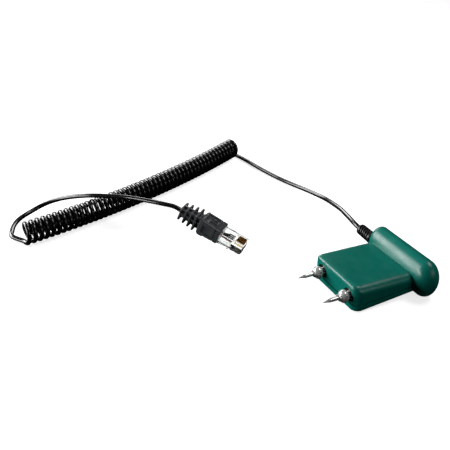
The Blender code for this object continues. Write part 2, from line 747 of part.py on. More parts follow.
def make_plug(plug, boot_finish, clear, gold, cord_finish, wires):
    half = PLUG_WIDTH / 2
    body = add_mesh("plug_body", box_bm((PLUG_REAR, -half, PLUG_BOTTOM), (PLUG_NOSE, half, PLUG_TOP), 0.4), clear, plug)
    wires_room = box_bm((PLUG_REAR - 2, -half + 1.1, PLUG_BOTTOM + 1.1), (8.6, half - 1.1, PLUG_TOP - 1.3))
    cut(body, add_mesh("plug_cavity", wires_room, None, plug))
    blade_front = PLUG_NOSE - 0.5
    blade_back = blade_front - CONTACT_SIZE[0]
    blade_low = PLUG_TOP - CONTACT_SIZE[2]
    trough_half = 3.5 * CONTACT_PITCH + CONTACT_SIZE[1] / 2 + GAP
    trough = box_bm((blade_back - GAP, -trough_half, blade_low - GAP), (PLUG_NOSE + 2, trough_half, PLUG_TOP + 2))
    cut(body, add_mesh("contact_trough", trough, None, plug))
    for i in range(8):
        y = (i - 3.5) * CONTACT_PITCH
        thick = CONTACT_SIZE[1] / 2
        blade = box_bm((blade_back, y - thick, blade_low), (blade_front, y + thick, PLUG_TOP - 0.1))
        add_mesh(f"plug_contact_{i + 1}", blade, gold, plug)

    outline = [
        (BOOT_REAR, BOOT_HUMP_BOTTOM),
        (BOOT_HUMP_FRONT, BOOT_HUMP_BOTTOM),
        (BOOT_HUMP_FRONT, BOOT_BOTTOM),
        (BOOT_LIP, BOOT_BOTTOM),
        (0.0, BOOT_TOP),
        (BOOT_REAR, BOOT_TOP),
    ]
    boot_bm = outline_bm(outline, -BOOT_WIDTH / 2, BOOT_WIDTH / 2)
    bmesh.ops.recalc_face_normals(boot_bm, faces=boot_bm.faces)
    bmesh.ops.bevel(boot_bm, geom=boot_bm.edges[:], offset=0.5, segments=2, profile=0.5, affect="EDGES")
    boot = add_mesh("plug_boot", boot_bm, boot_finish, plug)
    stations = []
    for x, width, height in RIBS:
        core = (width * 0.74, height * 0.78)
        stations += [
            (x - RIB_THICKNESS / 2, *core),
            (x - RIB_THICKNESS / 2, width, height),
            (x + RIB_THICKNESS / 2, width, height),
            (x + RIB_THICKNESS / 2, *core),
        ]
    stations[0] = (TAIL_END, *stations[0][1:])
    stations[1] = (TAIL_END, *stations[1][1:])
    stations.append((BOOT_REAR + 1.0, 9.4, 7.8))
    cut(boot, add_mesh("boot_tail", loft_bm(stations), None, plug), "UNION")
    room = box_bm(
        (PLUG_REAR - GAP, -half - GAP, PLUG_BOTTOM - GAP),
        (PLUG_NOSE, half + GAP, PLUG_TOP + GAP),
    )
    cut(boot, add_mesh("boot_room", room, None, plug))

    hinge = Vector((PLUG_NOSE - 0.6, 0.0, PLUG_BOTTOM - GAP - LATCH_THICKNESS / 2))
    reach = (LATCH_END - hinge.x) / math.cos(LATCH_SLOPE)
    latch_outline = [(0.5, -2.6), (-9.0, -3.1), (-10.2, -1.7), (reach, -1.7), (reach, 1.7), (-10.2, 1.7), (-9.0, 3.1), (0.5, 2.6)]
    latch_bm = outline_bm(latch_outline, -LATCH_THICKNESS / 2, LATCH_THICKNESS / 2)
    bmesh.ops.transform(latch_bm, matrix=Matrix.Rotation(math.radians(90), 4, "X"), verts=latch_bm.verts)
    add_mesh("plug_latch", latch_bm, clear, plug, hinge, (0.0, -LATCH_SLOPE, 0.0))

    tube("plug_cord_end", [(PLUG_REAR + 0.2, 0.0, -0.2), (0.4, 0.0, -0.2)], CORD_RADIUS, cord_finish, plug)
    for i, finish in enumerate(wires):
        y = (i - 1.5) * 1.0
        y_end = (i - 1.5) * 2.0
        route = [(0.4 + GAP, y * 0.95, -0.2), (2.5, y * 1.2, -0.1), (5.0, y_end, 0.3), (8.2, y_end, 0.4)]
        tube(f"plug_wire_{i + 1}", route, WIRE_RADIUS, finish, plug, 1)


main()
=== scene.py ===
"""Looks of a two-pin soil moisture probe: moulded head, coiled lead and modular plug.

Lengths are in millimetres in the part's frame and turned into metres by MM. Head shapes are
given in the head's own frame, whose origin lies under the grip bar midway between the pins.
"""

import math

import bmesh
import bpy
from mathutils import Euler, Matrix, Vector


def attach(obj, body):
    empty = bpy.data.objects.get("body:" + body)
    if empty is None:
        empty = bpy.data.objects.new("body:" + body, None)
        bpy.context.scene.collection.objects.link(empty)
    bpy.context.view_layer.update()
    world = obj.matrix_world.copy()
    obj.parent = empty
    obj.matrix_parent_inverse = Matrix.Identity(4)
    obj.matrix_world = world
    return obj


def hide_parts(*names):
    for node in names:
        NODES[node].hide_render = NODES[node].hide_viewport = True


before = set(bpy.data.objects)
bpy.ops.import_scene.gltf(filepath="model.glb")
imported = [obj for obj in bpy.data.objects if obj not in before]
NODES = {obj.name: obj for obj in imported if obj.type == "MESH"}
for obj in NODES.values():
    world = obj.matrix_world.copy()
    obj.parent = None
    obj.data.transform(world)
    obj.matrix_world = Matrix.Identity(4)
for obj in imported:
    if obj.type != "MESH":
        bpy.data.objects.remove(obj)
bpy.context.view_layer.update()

MM = 0.001
HEAD = Vector((0.75, 23.0, 0.0))
SCENE = bpy.context.scene
WORLD_TOP = 1.1

# Cord, with the same route points as the CAD part.
CORD_RADIUS = 1.5
COIL_RADIUS = 7.65
COIL_LENGTH = 189.6
COIL_BOW = 7.6
COIL_MIDDLE = (-154.4, -71.6)
COIL_HEADING = math.radians(-70.0)
COIL_TURNS = 49
TURN_POINTS = 20
REST_HEIGHT = 1.75
RELIEF_START = Vector((-22.3, 0.6, 13.85)) + HEAD
RELIEF_TIP = Vector((-34.4, 0.4, 14.6)) + HEAD
HEAD_LEAD_ROUTE = [
    (-49.4, 26.0, 13.9),
    (-62.9, 29.3, 12.2),
    (-76.3, 31.7, 9.8),
    (-89.5, 33.5, 7.1),
    (-104.2, 33.3, 4.6),
    (-117.3, 32.0, 2.7),
    (-129.2, 29.5, REST_HEIGHT),
    (-140.4, 26.2, REST_HEIGHT),
    (-151.1, 23.8, REST_HEIGHT),
    (-163.8, 21.4, REST_HEIGHT),
    (-177.3, 19.4, REST_HEIGHT),
]
PLUG_LEAD_ROUTE = [
    (-139.8, -170.1, REST_HEIGHT),
    (-147.5, -168.8, REST_HEIGHT),
    (-154.7, -166.0, REST_HEIGHT),
    (-160.7, -161.9, REST_HEIGHT),
    (-164.9, -157.0, REST_HEIGHT),
    (-167.8, -150.7, 2.6),
    (-168.8, -144.5, 4.3),
    (-166.7, -138.8, 6.8),
    (-162.2, -132.9, 9.8),
    (-156.1, -127.2, 12.8),
    (-149.5, -121.4, 15.4),
    (-142.1, -114.7, 17.7),
    (-133.5, -105.4, 19.3),
    (-124.4, -96.8, 20.8),
    (-112.7, -88.6, 22.4),
    (-101.4, -80.6, 23.4),
]
PLUG_PLACE = Vector((-70.7, -53.6, 10.6))
PLUG_TURN = Euler((math.radians(-5.0), math.radians(20.6), math.radians(40.8)))
TAIL_END = -29.0


# ---------------------------------------------------------------- materials


def blank(name, roughness=0.4, metallic=0.0, **inputs):
    made = bpy.data.materials.new(name)
    made.use_nodes = True
    shader = made.node_tree.nodes["Principled BSDF"]
    shader.inputs["Roughness"].default_value = roughness
    shader.inputs["Metallic"].default_value = metallic
    for key, value in inputs.items():
        shader.inputs[key.replace("_", " ")].default_value = value
    return made


def add(made, kind, **settings):
    node = made.node_tree.nodes.new(kind)
    for key, value in settings.items():
        if key in node.inputs:
            node.inputs[key].default_value = value
        else:
            setattr(node, key, value)
    return node


def join(made, source, output, target, socket):
    made.node_tree.links.new(source.outputs[output], target.inputs[socket])


def shader_of(made):
    return made.node_tree.nodes["Principled BSDF"]


def place_of(made, stretch=(1.0, 1.0, 1.0)):
    """Object coordinates in metres, stretched along chosen axes."""
    place = add(made, "ShaderNodeTexCoord")
    scale = add(made, "ShaderNodeMapping")
    scale.inputs["Scale"].default_value = stretch
    join(made, place, "Object", scale, "Vector")
    return scale


def noise(made, scale, detail=4.0, stretch=(1.0, 1.0, 1.0)):
    texture = add(made, "ShaderNodeTexNoise", Scale=scale, Detail=detail)
    join(made, place_of(made, stretch), "Vector", texture, "Vector")
    return texture


def tint(made, low, high, scale, detail=3.0, stretch=(1.0, 1.0, 1.0)):
    """Base colour that drifts between two tones."""
    ramp = add(made, "ShaderNodeValToRGB")
    ramp.color_ramp.elements[0].position = 0.3
    ramp.color_ramp.elements[0].color = (*low, 1.0)
    ramp.color_ramp.elements[1].position = 0.7
    ramp.color_ramp.elements[1].color = (*high, 1.0)
    join(made, noise(made, scale, detail, stretch), "Fac", ramp, "Fac")
    join(made, ramp, "Color", shader_of(made), "Base Color")
    return ramp


def rough(made, low, high, scale, detail=5.0, stretch=(1.0, 1.0, 1.0)):
    """Roughness that drifts between two values, as handling leaves it."""
    spread = add(made, "ShaderNodeMapRange")
    spread.inputs["From Min"].default_value = 0.35
    spread.inputs["From Max"].default_value = 0.68
    spread.inputs["To Min"].default_value = low
    spread.inputs["To Max"].default_value = high
    join(made, noise(made, scale, detail, stretch), "Fac", spread, "Value")
    join(made, spread, "Result", shader_of(made), "Roughness")


def bumps(made, *layers):
    """Bump from noise layers, each (scale, height in mm, stretch)."""
    below = None
    for scale, height, stretch in layers:
        bump = add(made, "ShaderNodeBump", Strength=1.0, Distance=height * MM)
        join(made, noise(made, scale, 3.0, stretch), "Fac", bump, "Height")
        if below is not None:
            join(made, below, "Normal", bump, "Normal")
        below = bump
    join(made, below, "Normal", shader_of(made), "Normal")


def plastic(name, low, high, roughness, grain, **inputs):
    made = blank(name, **inputs)
    tint(made, low, high, 60.0)
    rough(made, roughness * 0.85, roughness * 1.15, 220.0)
    bumps(made, (2600.0, grain, (1.0, 1.0, 1.0)), (300.0, grain * 2.0, (1.0, 1.0, 1.0)))
    return made


def metal(name, low, high, roughness, grain, stretch=(1.0, 1.0, 1.0)):
    made = blank(name, metallic=1.0)
    tint(made, low, high, 300.0, 4.0, stretch)
    rough(made, roughness * 0.7, roughness * 1.4, 500.0, 6.0, stretch)
    bumps(made, (1500.0, grain, stretch))
    return made


GREEN = plastic("moulded green", (0.0003, 0.186, 0.143), (0.0006, 0.214, 0.165), 0.33, 0.0014)
shader_of(GREEN).inputs["Specular IOR Level"].default_value = 0.6
RUBBER = plastic("relief rubber", (0.008, 0.008, 0.009), (0.013, 0.013, 0.014), 0.36, 0.003)
BOOT_COAT = {"Coat_Weight": 0.3, "Coat_Roughness": 0.15}
BOOT = plastic("boot vinyl", (0.080, 0.086, 0.094), (0.105, 0.112, 0.122), 0.3, 0.004, **BOOT_COAT)
CORD_COAT = {"Coat_Weight": 0.6, "Coat_Roughness": 0.06}
CORD = plastic("cord jacket", (0.0055, 0.0058, 0.006), (0.010, 0.010, 0.011), 0.22, 0.002, **CORD_COAT)
STEEL = metal("ground steel", (0.62, 0.61, 0.59), (0.78, 0.77, 0.74), 0.2, 0.0012, (1.0, 0.08, 1.0))
shader_of(STEEL).inputs["Metallic"].default_value = 0.7
DARK_STEEL = metal("oxidised steel", (0.22, 0.22, 0.21), (0.38, 0.36, 0.34), 0.3, 0.003)
CHROME = metal("nickel plate", (0.84, 0.84, 0.83), (0.92, 0.91, 0.90), 0.14, 0.0004)
shader_of(CHROME).inputs["Metallic"].default_value = 0.45
BRASS = metal("turned brass", (0.62, 0.43, 0.18), (0.75, 0.56, 0.27), 0.28, 0.001)
GOLD = metal("gold flash", (0.60, 0.40, 0.14), (0.74, 0.54, 0.22), 0.25, 0.001)
BOARD = plastic("solder mask", (0.012, 0.12, 0.04), (0.02, 0.17, 0.06), 0.35, 0.002)
CHIP = plastic("chip mould", (0.012, 0.012, 0.012), (0.022, 0.022, 0.022), 0.5, 0.003)
CERAMIC = plastic("ceramic", (0.68, 0.65, 0.58), (0.78, 0.75, 0.68), 0.5, 0.002)
NYLON = plastic("natural nylon", (0.72, 0.69, 0.60), (0.82, 0.79, 0.70), 0.45, 0.002)
WIRES = {
    1: plastic("red insulation", (0.36, 0.13, 0.12), (0.48, 0.19, 0.17), 0.35, 0.002),
    2: plastic("grey insulation", (0.07, 0.07, 0.075), (0.11, 0.11, 0.115), 0.35, 0.002),
    3: plastic("dark green insulation", (0.05, 0.06, 0.06), (0.08, 0.09, 0.09), 0.35, 0.002),
    4: plastic("brown insulation", (0.10, 0.065, 0.04), (0.15, 0.10, 0.06), 0.35, 0.002),
}


def clear_plastic():
    made = blank("clear polycarbonate", 0.06, 0.0, IOR=1.58, Transmission_Weight=1.0)
    tint(made, (0.90, 0.92, 0.91), (0.97, 0.98, 0.97), 90.0)
    rough(made, 0.03, 0.09, 400.0)
    bumps(made, (900.0, 0.002, (1.0, 1.0, 1.0)))
    return made


CLEAR = clear_plastic()

FINISHES = {
    "top_shell": GREEN,
    "bottom_shell": GREEN,
    "strain_relief": RUBBER,
    "circuit_board": BOARD,
    "sensing_chip": CHIP,
    "timing_capacitor": CHIP,
    "resistor_left": CERAMIC,
    "resistor_right": CERAMIC,
    "cord_header": NYLON,
    "cord_ferrule": BRASS,
    "cord_end": CORD,
    "plug_cord_end": CORD,
    "plug_boot": BOOT,
    "plug_body": CLEAR,
    "plug_latch": CLEAR,
    "probe_wire_left": WIRES[1],
    "probe_wire_right": WIRES[2],
    "housing_screw_front": STEEL,
}
for side in ("left", "right"):
    FINISHES["pin_" + side] = STEEL
    FINISHES["pin_nut_" + side] = CHROME
    FINISHES["lock_washer_" + side] = DARK_STEEL
    FINISHES["pin_socket_" + side] = BRASS
    FINISHES["housing_screw_" + side] = STEEL
for number in range(1, 9):
    FINISHES[f"plug_contact_{number}"] = GOLD
for number in range(1, 5):
    FINISHES[f"plug_wire_{number}"] = WIRES[number]
    FINISHES[f"cord_wire_{number}"] = WIRES[number]
for name, finish in FINISHES.items():
    NODES[name].data.materials.clear()
    NODES[name].data.materials.append(finish)


# ---------------------------------------------------------------- shape helpers


SHARP_ANGLE = math.radians(32)


def mesh_object(name, bm, finish=None, turn=None):
    """Turns a bmesh in millimetres into an object in the part's frame, smooth except at sharp edges."""
    bmesh.ops.remove_doubles(bm, verts=bm.verts, dist=1e-5)
    bmesh.ops.recalc_face_normals(bm, faces=bm.faces)
    if turn is not None:
        bmesh.ops.transform(bm, matrix=turn, verts=bm.verts)
    bmesh.ops.scale(bm, vec=(MM, MM, MM), verts=bm.verts)
    mesh = bpy.data.meshes.new(name)
    bm.to_mesh(mesh)
    bm.free()
    mesh.shade_smooth()
    mesh.set_sharp_from_angle(angle=SHARP_ANGLE)
    if finish is not None:
        mesh.materials.append(finish)
    obj = bpy.data.objects.new(name, mesh)
    SCENE.collection.objects.link(obj)
    return obj


def carve(obj, *steps):
    """Applies Booleans with (operation, cutter) pairs and bakes the result into the object's mesh."""
    for operation, cutter in steps:
        modifier = obj.modifiers.new("carve", "BOOLEAN")
        modifier.object = cutter
        modifier.operation = operation
        modifier.solver = "EXACT"
    bpy.context.view_layer.update()
    graph = bpy.context.evaluated_depsgraph_get()
    baked = bpy.data.meshes.new_from_object(obj.evaluated_get(graph))
    obj.modifiers.clear()
    finishes = list(obj.data.materials)
    obj.data = baked
    baked.materials.clear()
    for finish in finishes:
        baked.materials.append(finish)
    baked.shade_smooth()
    baked.set_sharp_from_angle(angle=SHARP_ANGLE)
    for _, cutter in steps:
        bpy.data.objects.remove(cutter)
    return obj


def stand_for(obj, body, slot, *nodes):
    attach(obj, body)
    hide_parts(*nodes)
    return obj


def box_bm(low, high, bevel=0.0, segments=3):
    bm = bmesh.new()
    bmesh.ops.create_cube(bm, size=1.0)
    bmesh.ops.scale(bm, vec=[b - a for a, b in zip(low, high)], verts=bm.verts)
    bmesh.ops.translate(bm, vec=[(a + b) / 2 for a, b in zip(low, high)], verts=bm.verts)
    if bevel:
        bmesh.ops.bevel(bm, geom=bm.edges[:], offset=bevel, segments=segments, profile=0.5, affect="EDGES")
    return bm


def turned_bm(profile, steps=48, ring=False):
    """Spins (radius, height) points about Z. A ring's profile closes on itself, clear of the axis."""
    bm = bmesh.new()
    points = [bm.verts.new((radius, 0.0, height)) for radius, height in profile]
    pairs = list(zip(points, points[1:]))
    if ring:
        pairs.append((points[-1], points[0]))
    edges = [bm.edges.new(pair) for pair in pairs]
    bmesh.ops.spin(
        bm,
        geom=points + edges,
        cent=(0.0, 0.0, 0.0),
        axis=(0.0, 0.0, 1.0),
        angle=math.tau,
        steps=steps,
        use_merge=True,
        use_duplicate=False,
    )
    return bm


def arc(centre, radius, start, end, count):
    angles = [math.radians(start + (end - start) * i / count) for i in range(count + 1)]
    return [(centre[0] + radius * math.cos(a), centre[1] + radius * math.sin(a)) for a in angles]


def outline_bm(points, low, high):
    """Extrudes an (x, z) outline along Y from low to high."""
    bm = bmesh.new()
    face = bm.faces.new([bm.verts.new((x, low, z)) for x, z in points])
    grown = bmesh.ops.extrude_face_region(bm, geom=[face])
    far_side = [item for item in grown["geom"] if isinstance(item, bmesh.types.BMVert)]
    bmesh.ops.translate(bm, vec=(0.0, high - low, 0.0), verts=far_side)
    return bm


def joined(*shapes):
    whole = bmesh.new()
    for bm in shapes:
        mesh = bpy.data.meshes.new("piece")
        bm.to_mesh(mesh)
        bm.free()
        whole.from_mesh(mesh)
        bpy.data.meshes.remove(mesh)
    return whole


def moved(bm, place, turn=None):
    if turn is not None:
        bmesh.ops.transform(bm, matrix=turn, verts=bm.verts)
    bmesh.ops.translate(bm, vec=place, verts=bm.verts)
    return bm


# ---------------------------------------------------------------- head

BLOCK_LEFT = -21.6
BLOCK_RIGHT = 20.3
BLOCK_FRONT = 40.9
BLOCK_BACK_IN_BAR = 3.4
BLOCK_TOP_FRONT = 15.8
BLOCK_TOP_SLOPE = 0.042
BLOCK_BOTTOM_SLOPE = 0.066
SEAM_FRONT = 4.1
CORNER_RADIUS = 5.0
SIDE_TOP_RADIUS = 4.6
FRONT_TOP_RADIUS = 2.2
BOTTOM_RADIUS = 1.4
WALL = 2.2
BAR_HALF_DEPTH = 7.25
BAR_HALF_HEIGHT = 11.5
BAR_Y = 3.85
BAR_FAR_DOME = 5.9
BAR_NEAR_DOME = 8.6
BAR_FAR_END = -24.3
BAR_NEAR_END = 30.1
PIN_X = 12.7
PIN_HEIGHT = 8.15
SEAM_GAP = 0.8
SCREWS = ((0.0, -34.2), (-17.1, -14.5), (16.0, -14.5))


def bottom_at(y):
    return BLOCK_BOTTOM_SLOPE * (y + BLOCK_FRONT)


def top_at(y):
    return BLOCK_TOP_FRONT - BLOCK_TOP_SLOPE * (y + BLOCK_FRONT)


def block_bm(inset, corner_steps=14, rim_steps=9):
    """The wedge block, drawn in by an inset. Rings round its outline climb from bottom to top."""
    left = BLOCK_LEFT + inset
    right = BLOCK_RIGHT - inset
    front = -BLOCK_FRONT + inset
    back = BLOCK_BACK_IN_BAR - inset
    corner = CORNER_RADIUS - inset
    share = corner / CORNER_RADIUS
    outline = []
    for x, y, start in (
        (right - corner, front + corner, -90),
        (right - corner, back - corner, 0),
        (left + corner, back - corner, 90),
        (left + corner, front + corner, 180),
    ):
        for i in range(corner_steps + 1):
            angle = math.radians(start + 90 * i / corner_steps)
            outline.append((Vector((x, y)), Vector((math.cos(angle), math.sin(angle)))))
    turns = [(90 - 90 * i / 4, False) for i in range(5)]
    turns += [(90 * i / rim_steps, True) for i in range(rim_steps + 1)]
    bm = bmesh.new()
    loops = []
    for turn, at_top in turns:
        loop = []
        for centre, outward in outline:
            side = outward.x * outward.x
            top_radius = FRONT_TOP_RADIUS + (SIDE_TOP_RADIUS - FRONT_TOP_RADIUS) * side
            radius = share * (top_radius if at_top else BOTTOM_RADIUS)
            place = centre + outward * (corner - radius * (1 - math.cos(math.radians(turn))))
            drop = radius * (1 - math.sin(math.radians(turn))) + inset
            height = top_at(place.y) - drop if at_top else bottom_at(place.y) + drop
            loop.append(bm.verts.new((place.x, place.y, height)))
        loops.append(loop)
    for low, high in zip(loops, loops[1:]):
        for i in range(len(low)):
            j = (i + 1) % len(low)
            bm.faces.new((low[i], low[j], high[j], high[i]))
    bm.faces.new(loops[0])
    bm.faces.new(loops[-1])
    return bm


def bar_bm(inset, steps=96, rings=20):
    height = BAR_HALF_HEIGHT - inset
    depth = BAR_HALF_DEPTH - inset
    far_rise = (BAR_FAR_DOME - inset) / height
    near_rise = (BAR_NEAR_DOME - inset) / height
    far_base = BAR_FAR_END + BAR_FAR_DOME
    near_base = BAR_NEAR_END - BAR_NEAR_DOME
    far = [(r, far_base + z * far_rise) for r, z in arc((0.0, 0.0), height, -90, 0, rings)]
    near = [(r, near_base + z * near_rise) for r, z in arc((0.0, 0.0), height, 0, 90, rings)]
    bm = turned_bm(far + near, steps)
    bmesh.ops.scale(bm, vec=(1.0, depth / height, 1.0), verts=bm.verts)
    return moved(bm, (0.0, BAR_Y, BAR_HALF_HEIGHT), Matrix.Rotation(math.radians(90), 4, "Y"))


def half_space_bm(above, lift):
    """A slab on one side of the seam plane, which slopes as the block's bottom does."""
    reach = 60.0
    sign = 1.0 if above else -1.0
    near_z = SEAM_FRONT + bottom_at(-reach) + lift
    far_z = SEAM_FRONT + bottom_at(reach) + lift
    rise = sign * reach
    outline = [(-reach, near_z), (reach, far_z), (reach, far_z + rise), (-reach, near_z + rise)]
    return moved(outline_bm(outline, -reach, reach), (0, 0, 0), Matrix.Rotation(math.radians(90), 4, "Z"))


def along_y(profile, steps=48, ring=False):
    bm = turned_bm([(radius, -place) for radius, place in profile], steps, ring)
    return moved(bm, (0, 0, 0), Matrix.Rotation(math.radians(90), 4, "X"))


def along_x(profile, steps=48, ring=False):
    return moved(turned_bm(profile, steps, ring), (0, 0, 0), Matrix.Rotation(math.radians(90), 4, "Y"))


TO_PART = Matrix.Translation(HEAD)
NUT_CENTRE = -43.75
NUT_HALF_WIDTH = 3.75
NUT_HALF_LENGTH = 2.9
NUT_ANGLES = [math.radians(-50 + 102 * i / 24) for i in range(25)]
NUT_BALL = [
    (NUT_HALF_WIDTH * math.cos(a), NUT_CENTRE + NUT_HALF_LENGTH * math.sin(a)) for a in NUT_ANGLES
]
NUT_NOSE = [(1.45, -47.1), (2.1, -46.95), (2.15, -46.2)]
NUT_NECK = [(2.3, -40.9), (2.3, -40.7), (1.45, -40.7)]
NUT_HOLE = Matrix.Rotation(math.radians(62), 4, "Y")
DRILLING = [(0.0, 2.4), (0.62, 2.4), (0.62, 6.0), (0.0, 6.0)]
RECESS_RADIUS = 4.25
PIN_HOLE_RADIUS = 2.5
SCREW_BORE_RADIUS = 2.65


def shell(name, above):
    body = mesh_object(name, block_bm(0.0), GREEN, TO_PART)
    carve(body, ("UNION", mesh_object("bar", bar_bm(0.0), None, TO_PART)))
    carve(body, ("DIFFERENCE", mesh_object("cavity", block_bm(WALL, 5, 4), None, TO_PART)))
    carve(body, ("DIFFERENCE", mesh_object("grip", bar_bm(WALL, 40, 7), None, TO_PART)))
    gap = SEAM_GAP / 2 if above else -SEAM_GAP / 2
    carve(body, ("DIFFERENCE", mesh_object("seam", half_space_bm(not above, gap), None, TO_PART)))
    return body


top_look = shell("top_shell_look", True)
holes = []
for x in (-PIN_X, PIN_X):
    hole = along_y(
        [
            (0.0, -BLOCK_FRONT - 3),
            (RECESS_RADIUS, -BLOCK_FRONT - 3),
            (RECESS_RADIUS, -BLOCK_FRONT + 1.4),
            (PIN_HOLE_RADIUS, -BLOCK_FRONT + 1.4),
            (PIN_HOLE_RADIUS, -BLOCK_FRONT + WALL + 1),
            (0.0, -BLOCK_FRONT + WALL + 1),
        ]
    )
    holes.append(moved(hole, (x, 0.0, PIN_HEIGHT)))
holes.append(moved(along_x([(0.0, -27.3), (2.3, -27.3), (2.3, -16.4), (0.0, -16.4)]), (0.0, 0.6, 13.9)))
carve(top_look, ("DIFFERENCE", mesh_object("holes", joined(*holes), None, TO_PART)))
stand_for(top_look, "probe", "moulded_green", "top_shell")

for side, x in (("left", -PIN_X), ("right", PIN_X)):
    nut_bm = along_y([*NUT_NOSE, *NUT_BALL, *NUT_NECK], 64, ring=True)
    nut_bm = moved(nut_bm, (x, 0.0, PIN_HEIGHT))
    nut_look = mesh_object("nut_look_" + side, nut_bm, CHROME, TO_PART)
    drilling = moved(turned_bm(DRILLING, 24), (0, 0, 0), NUT_HOLE)
    drilling = moved(drilling, (x, -43.9, PIN_HEIGHT))
    carve(nut_look, ("DIFFERENCE", mesh_object("drilling", drilling, None, TO_PART)))
    stand_for(nut_look, "pin_nut_" + side, "chrome", "pin_nut_" + side)

bottom_look = shell("bottom_shell_look", False)
bores = []
for x, y in SCREWS:
    low = bottom_at(y) - 2
    ledge = SEAM_FRONT + bottom_at(y) - 1.2
    bore = [(0.0, low), (SCREW_BORE_RADIUS, low), (SCREW_BORE_RADIUS, ledge), (0.0, ledge)]
    bores.append(moved(turned_bm(bore, 32), (x, y, 0.0)))
carve(bottom_look, ("DIFFERENCE", mesh_object("bores", joined(*bores), None, TO_PART)))
stand_for(bottom_look, "probe", "moulded_green", "bottom_shell")


RELIEF_RADIUS = 3.6
RELIEF_TAPER = 0.25
RELIEF_ROUND_END = 1.4
RELIEF_SLOT_SIDE = math.radians(-20)
SLOT_COUNT = 5
SLOT_FIRST = 2.6
SLOT_PITCH = 1.75
SLOT_SLANT = 1.1
SLOT_DEPTH = 0.95


def relief_bm():
    """The strain relief along +X from the shell outwards: a sleeve with a round end and slanted slots."""
    length = (RELIEF_TIP - RELIEF_START).length
    rings, steps = 110, 72
    bm = bmesh.new()
    loops = []
    for i in range(rings + 1):
        along = length * i / rings
        left = length - along
        radius = RELIEF_RADIUS - RELIEF_TAPER * along / length
        if left < RELIEF_ROUND_END:
            rounding = max(0.0, RELIEF_ROUND_END**2 - (RELIEF_ROUND_END - left) ** 2)
            radius -= RELIEF_ROUND_END - math.sqrt(rounding)
        loop = []
        for k in range(steps):
            angle = math.tau * k / steps
            facing = math.cos(angle - RELIEF_SLOT_SIDE)
            phase = (along + SLOT_SLANT * facing - SLOT_FIRST) / SLOT_PITCH
            across = abs(phase - round(phase)) * SLOT_PITCH
            reach = radius
            if 0 <= round(phase) < SLOT_COUNT and facing > -0.35:
                reach -= SLOT_DEPTH * min(1.0, max(0.0, (0.52 - across) / 0.16))
            loop.append(bm.verts.new((along, reach * math.cos(angle), reach * math.sin(angle))))
        loops.append(loop)
    for low, high in zip(loops, loops[1:]):
        for k in range(steps):
            bm.faces.new((low[k], low[(k + 1) % steps], high[(k + 1) % steps], high[k]))
    bm.faces.new(loops[0])
    bm.faces.new(loops[-1])
    return bm


way = (RELIEF_TIP - RELIEF_START).to_track_quat("X", "Z").to_matrix().to_4x4()
sleeve = mesh_object("relief_look", relief_bm(), RUBBER, Matrix.Translation(RELIEF_START) @ way)
stand_for(sleeve, "probe", "black_rubber", "strain_relief")


# ---------------------------------------------------------------- boot

# Each is (x, half width, low, high, corner radius).
BOOT_SECTIONS = (
    (-29.0, 3.1, -2.7, 3.0, 1.6),
    (-22.0, 3.8, -3.2, 3.6, 1.6),
    (-15.2, 4.6, -3.7, 4.4, 1.4),
    (-14.8, 6.1, -4.5, 5.0, 0.9),
    (-14.2, 6.6, -4.7, 5.5, 0.8),
    (-8.0, 6.7, -4.7, 5.3, 0.8),
    (-3.6, 6.7, -4.6, 5.0, 0.7),
    (-3.5, 6.4, -4.4, 4.7, 0.7),
    (-3.0, 6.4, -4.4, 4.7, 0.7),
    (-2.9, 6.8, -4.6, 5.0, 0.7),
    (-0.4, 6.8, -4.6, 4.8, 0.7),
    (0.0, 6.4, -4.2, 4.4, 0.6),
)
# Each is (x, half width, height).
FINS = ((-28.6, 5.2, 4.9), (-25.0, 5.6, 5.3), (-21.4, 6.0, 5.6), (-17.8, 6.4, 6.0))


def rounded_loop(bm, x, half, low, high, radius, steps=6):
    loop = []
    for y, z, start in (
        (half - radius, high - radius, 0),
        (-half + radius, high - radius, 90),
        (-half + radius, low + radius, 180),
        (half - radius, low + radius, 270),
    ):
        loop += [bm.verts.new((x, *point)) for point in arc((y, z), radius, start, start + 90, steps)]
    return loop


def loft_bm(sections):
    """A closed body through rounded rectangles, each (x, half width, low, high, corner radius)."""
    bm = bmesh.new()
    loops = [rounded_loop(bm, *section) for section in sections]
    for low, high in zip(loops, loops[1:]):
        for i in range(len(low)):
            j = (i + 1) % len(low)
            bm.faces.new((low[i], low[j], high[j], high[i]))
    bm.faces.new(loops[0])
    bm.faces.new(loops[-1])
    return bm


def fin_bm(x, half, tall):
    edge = 0.2
    low = 0.6 - tall
    high = tall
    return loft_bm(
        (
            (x - 0.58, half - edge, low + edge, high - edge, 1.1),
            (x - 0.38, half, low, high, 1.3),
            (x + 0.38, half, low, high, 1.3),
            (x + 0.58, half - edge, low + edge, high - edge, 1.1),
        )
    )


TO_PLUG = Matrix.Translation(PLUG_PLACE) @ PLUG_TURN.to_matrix().to_4x4()
boot = mesh_object("boot_look", loft_bm(BOOT_SECTIONS), BOOT, TO_PLUG)
window = joined(
    box_bm((-12.6, -4.6, 4.5), (-10.2, 4.6, 7.0), 0.3),
    box_bm((-9.2, -4.6, 4.4), (-4.6, -1.9, 7.0), 0.3),
    box_bm((-9.2, -0.9, 4.4), (-4.6, 4.6, 7.0), 0.3),
    box_bm((-12.0, 6.1, -2.6), (-5.2, 8.0, 2.8), 0.3),
    box_bm((-12.0, -8.0, -2.6), (-5.2, -6.1, 2.8), 0.3),
)
carve(boot, ("DIFFERENCE", mesh_object("window", window, None, TO_PLUG)))
